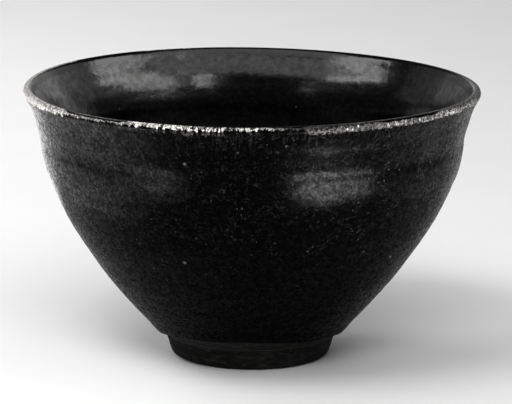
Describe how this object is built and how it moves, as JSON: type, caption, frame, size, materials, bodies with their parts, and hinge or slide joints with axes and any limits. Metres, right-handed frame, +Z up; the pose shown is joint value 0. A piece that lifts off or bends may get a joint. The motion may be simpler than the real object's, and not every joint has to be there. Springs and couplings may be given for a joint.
{
  "type": "tea bowl",
  "caption": "Flared tea bowl with a conical wall, hollow neck, dark speckled glaze, pale dry rim and a small bare foot ring.",
  "frame": {"origin": "centre of the foot ring, on the plane the bowl stands on", "axes": "+Z up along the bowl's axis, towards the rim; the bowl is round, so X and Y are free"},
  "size_m": [0.122, 0.122, 0.0736],
  "materials": {
    "dark_stoneware": "matte bare clay",
    "black_glaze": "glossy, finely speckled",
    "well_glaze": "glossy, finely speckled",
    "dry_rim_glaze": "thin, rough and dry"
  },
  "bodies": {
    "root": {"stoneware_body": "dark_stoneware", "outer_glaze": "black_glaze", "inner_glaze": "well_glaze", "lip_glaze": "dry_rim_glaze"}
  },
  "joints": []
}
